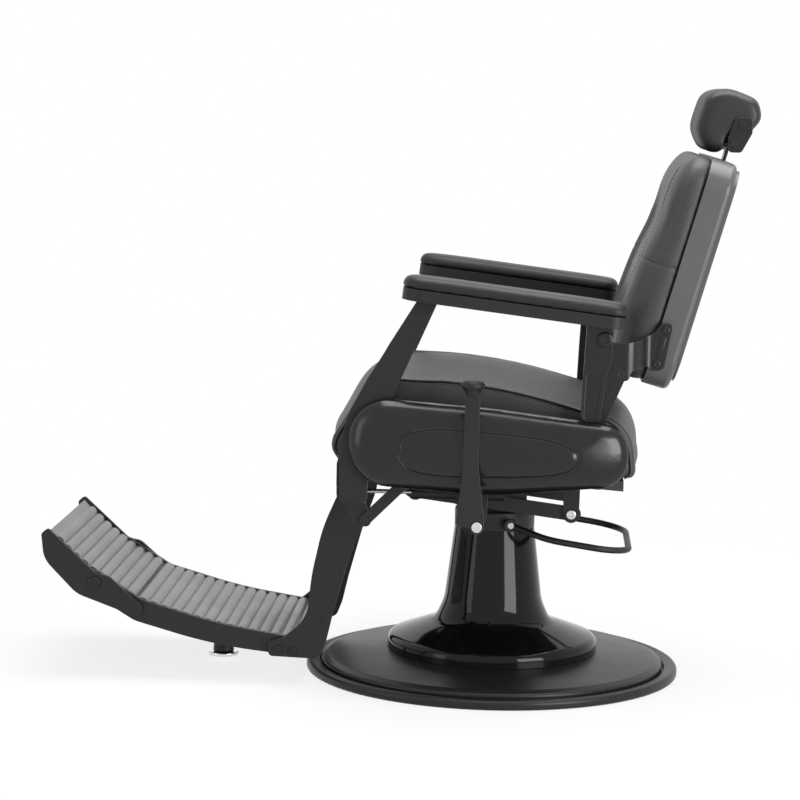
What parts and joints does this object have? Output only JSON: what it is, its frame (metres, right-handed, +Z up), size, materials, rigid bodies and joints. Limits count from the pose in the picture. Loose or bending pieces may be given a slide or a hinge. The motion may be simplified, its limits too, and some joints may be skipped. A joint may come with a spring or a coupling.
{
  "type": "barber chair",
  "caption": "Black reclining barber chair on a round hydraulic base, with padded arms, adjustable headrest and a ribbed footrest with a flip-over front flap.",
  "frame": {"origin": "centre of the round base on the floor", "axes": "+Z up along the column, -Y the way the sitter faces, +X the sitter's left, where the recline lever is"},
  "size_m": [0.7294, 1.2933, 1.101],
  "materials": {
    "base_black": "satin",
    "gloss_black": "high gloss",
    "steel": "satin",
    "bronze": "satin",
    "frame_black": "satin powder coat",
    "casting_grey": "satin",
    "plywood": "raw",
    "leather_black": "matte",
    "vinyl_black": "semi gloss",
    "arm_urethane": "satin",
    "shell_plastic": "satin",
    "tread_aluminium": "anodised",
    "bright_chrome": "polished"
  },
  "bodies": {
    "base": {"base_plate": "base_black", "base_trim_ring": "base_black", "base_dome": "base_black", "column_cover": "gloss_black", "pump_cylinder": "steel", "ram_bush": "bronze", "pump_head": "frame_black", "pedal_shaft": "steel"},
    "pedal": {"pump_pedal": "frame_black"},
    "lift": {"pump_ram": "steel", "thrust_bearing": "steel"},
    "seat": {"seat_mount_plate": "frame_black", "carrier_rails": "frame_black", "seat_ears": "frame_black", "ear_bolts": "steel", "seat_base": "plywood", "seat_cushion": "leather_black", "seat_side_plates": "frame_black", "frame_spacers": "frame_black", "front_arm_bars": "frame_black", "rear_arm_posts": "casting_grey", "pivot_bolts": "steel", "armrest_pad_left": "arm_urethane", "armrest_pad_right": "arm_urethane", "armrest_bases": "arm_urethane", "panel_boards": "plywood", "side_panel_left": "vinyl_black", "side_panel_right": "vinyl_black", "lock_housing": "frame_black", "lock_bracket": "frame_black", "lever_hangers": "frame_black"},
    "lever": {"lever_shaft": "steel", "recline_lever": "frame_black", "lever_knob": "arm_urethane"},
    "backrest": {"back_panel": "shell_plastic", "back_shell": "shell_plastic", "back_cushion": "leather_black", "back_brackets": "casting_grey", "bracket_screws": "steel", "link_pins": "steel", "headrest_guide": "steel"},
    "links": {"tie_links": "frame_black"},
    "footrest": {"cross_tube": "frame_black", "footrest_cranks": "frame_black", "footrest_legs": "frame_black", "main_rails": "frame_black", "main_tread": "tread_aluminium", "footrest_bolts": "steel", "footrest_crossbar": "frame_black", "bumper_stem": "frame_black", "bumper_disc": "bright_chrome"},
    "flap": {"flap_plates": "frame_black", "flap_tread": "tread_aluminium", "flap_crossbar": "frame_black", "flap_pivot_bolts": "steel"},
    "lock": {"lock_rod": "steel"},
    "headrest_carrier": {"headrest_post": "steel", "headrest_yoke": "casting_grey", "headrest_screws": "steel"},
    "headrest": {"headrest_pad": "leather_black"}
  },
  "joints": [
    {"name": "pedal_press", "type": "hinge", "parent": "base", "child": "pedal", "pos_m": [0, 0.032, 0.29], "axis": [-1, 0, 0], "range_deg": [0, 18], "stiffness_Nm_per_rad": 8, "springref_deg": -28.65},
    {"name": "seat_lift", "type": "slide", "parent": "base", "child": "lift", "axis": [0, 0, 1], "range_m": [0, 0.16]},
    {"name": "seat_swivel", "type": "hinge", "parent": "lift", "child": "seat", "pos_m": [0, 0, 0.276], "axis": [0, 0, 1], "continuous": true},
    {"name": "lever_pull", "type": "hinge", "parent": "seat", "child": "lever", "pos_m": [0.352, -0.025, 0.331], "axis": [-1, 0, 0], "range_deg": [0, 20], "stiffness_Nm_per_rad": 4, "springref_deg": -14.9},
    {"name": "recline", "type": "hinge", "parent": "seat", "child": "backrest", "pos_m": [0, 0.191, 0.659], "axis": [-1, 0, 0], "range_deg": [0, 28]},
    {"name": "footrest_raise", "type": "hinge", "parent": "seat", "child": "footrest", "pos_m": [0, -0.257, 0.385], "axis": [-1, 0, 0], "range_deg": [0, 28]},
    {"name": "link_swing", "type": "hinge", "parent": "backrest", "child": "links", "pos_m": [0, 0.222, 0.598], "axis": [-1, 0, 0], "range_deg": [-28, 0]},
    {"name": "lock_stroke", "type": "slide", "parent": "seat", "child": "lock", "axis": [0, -1, 0], "range_m": [0, 0.01326]},
    {"name": "flap_flip", "type": "hinge", "parent": "footrest", "child": "flap", "pos_m": [0, -0.727, 0.179], "axis": [-1, 0, 0], "range_deg": [0, 110]},
    {"name": "headrest_height", "type": "slide", "parent": "backrest", "child": "headrest_carrier", "axis": [0, 0.2714, 0.9625], "range_m": [0, 0.1]},
    {"name": "headrest_tilt", "type": "hinge", "parent": "headrest_carrier", "child": "headrest", "pos_m": [0, 0.42999, 1.03502], "axis": [-1, 0, 0], "range_deg": [0, 35]}
  ],
  "couplings": [
    {"joint": "footrest_raise", "follows": "recline", "ratio": 1},
    {"joint": "link_swing", "follows": "recline", "ratio": -1},
    {"joint": "lock_stroke", "follows": "recline", "m_per_rad": 0.026732}
  ]
}
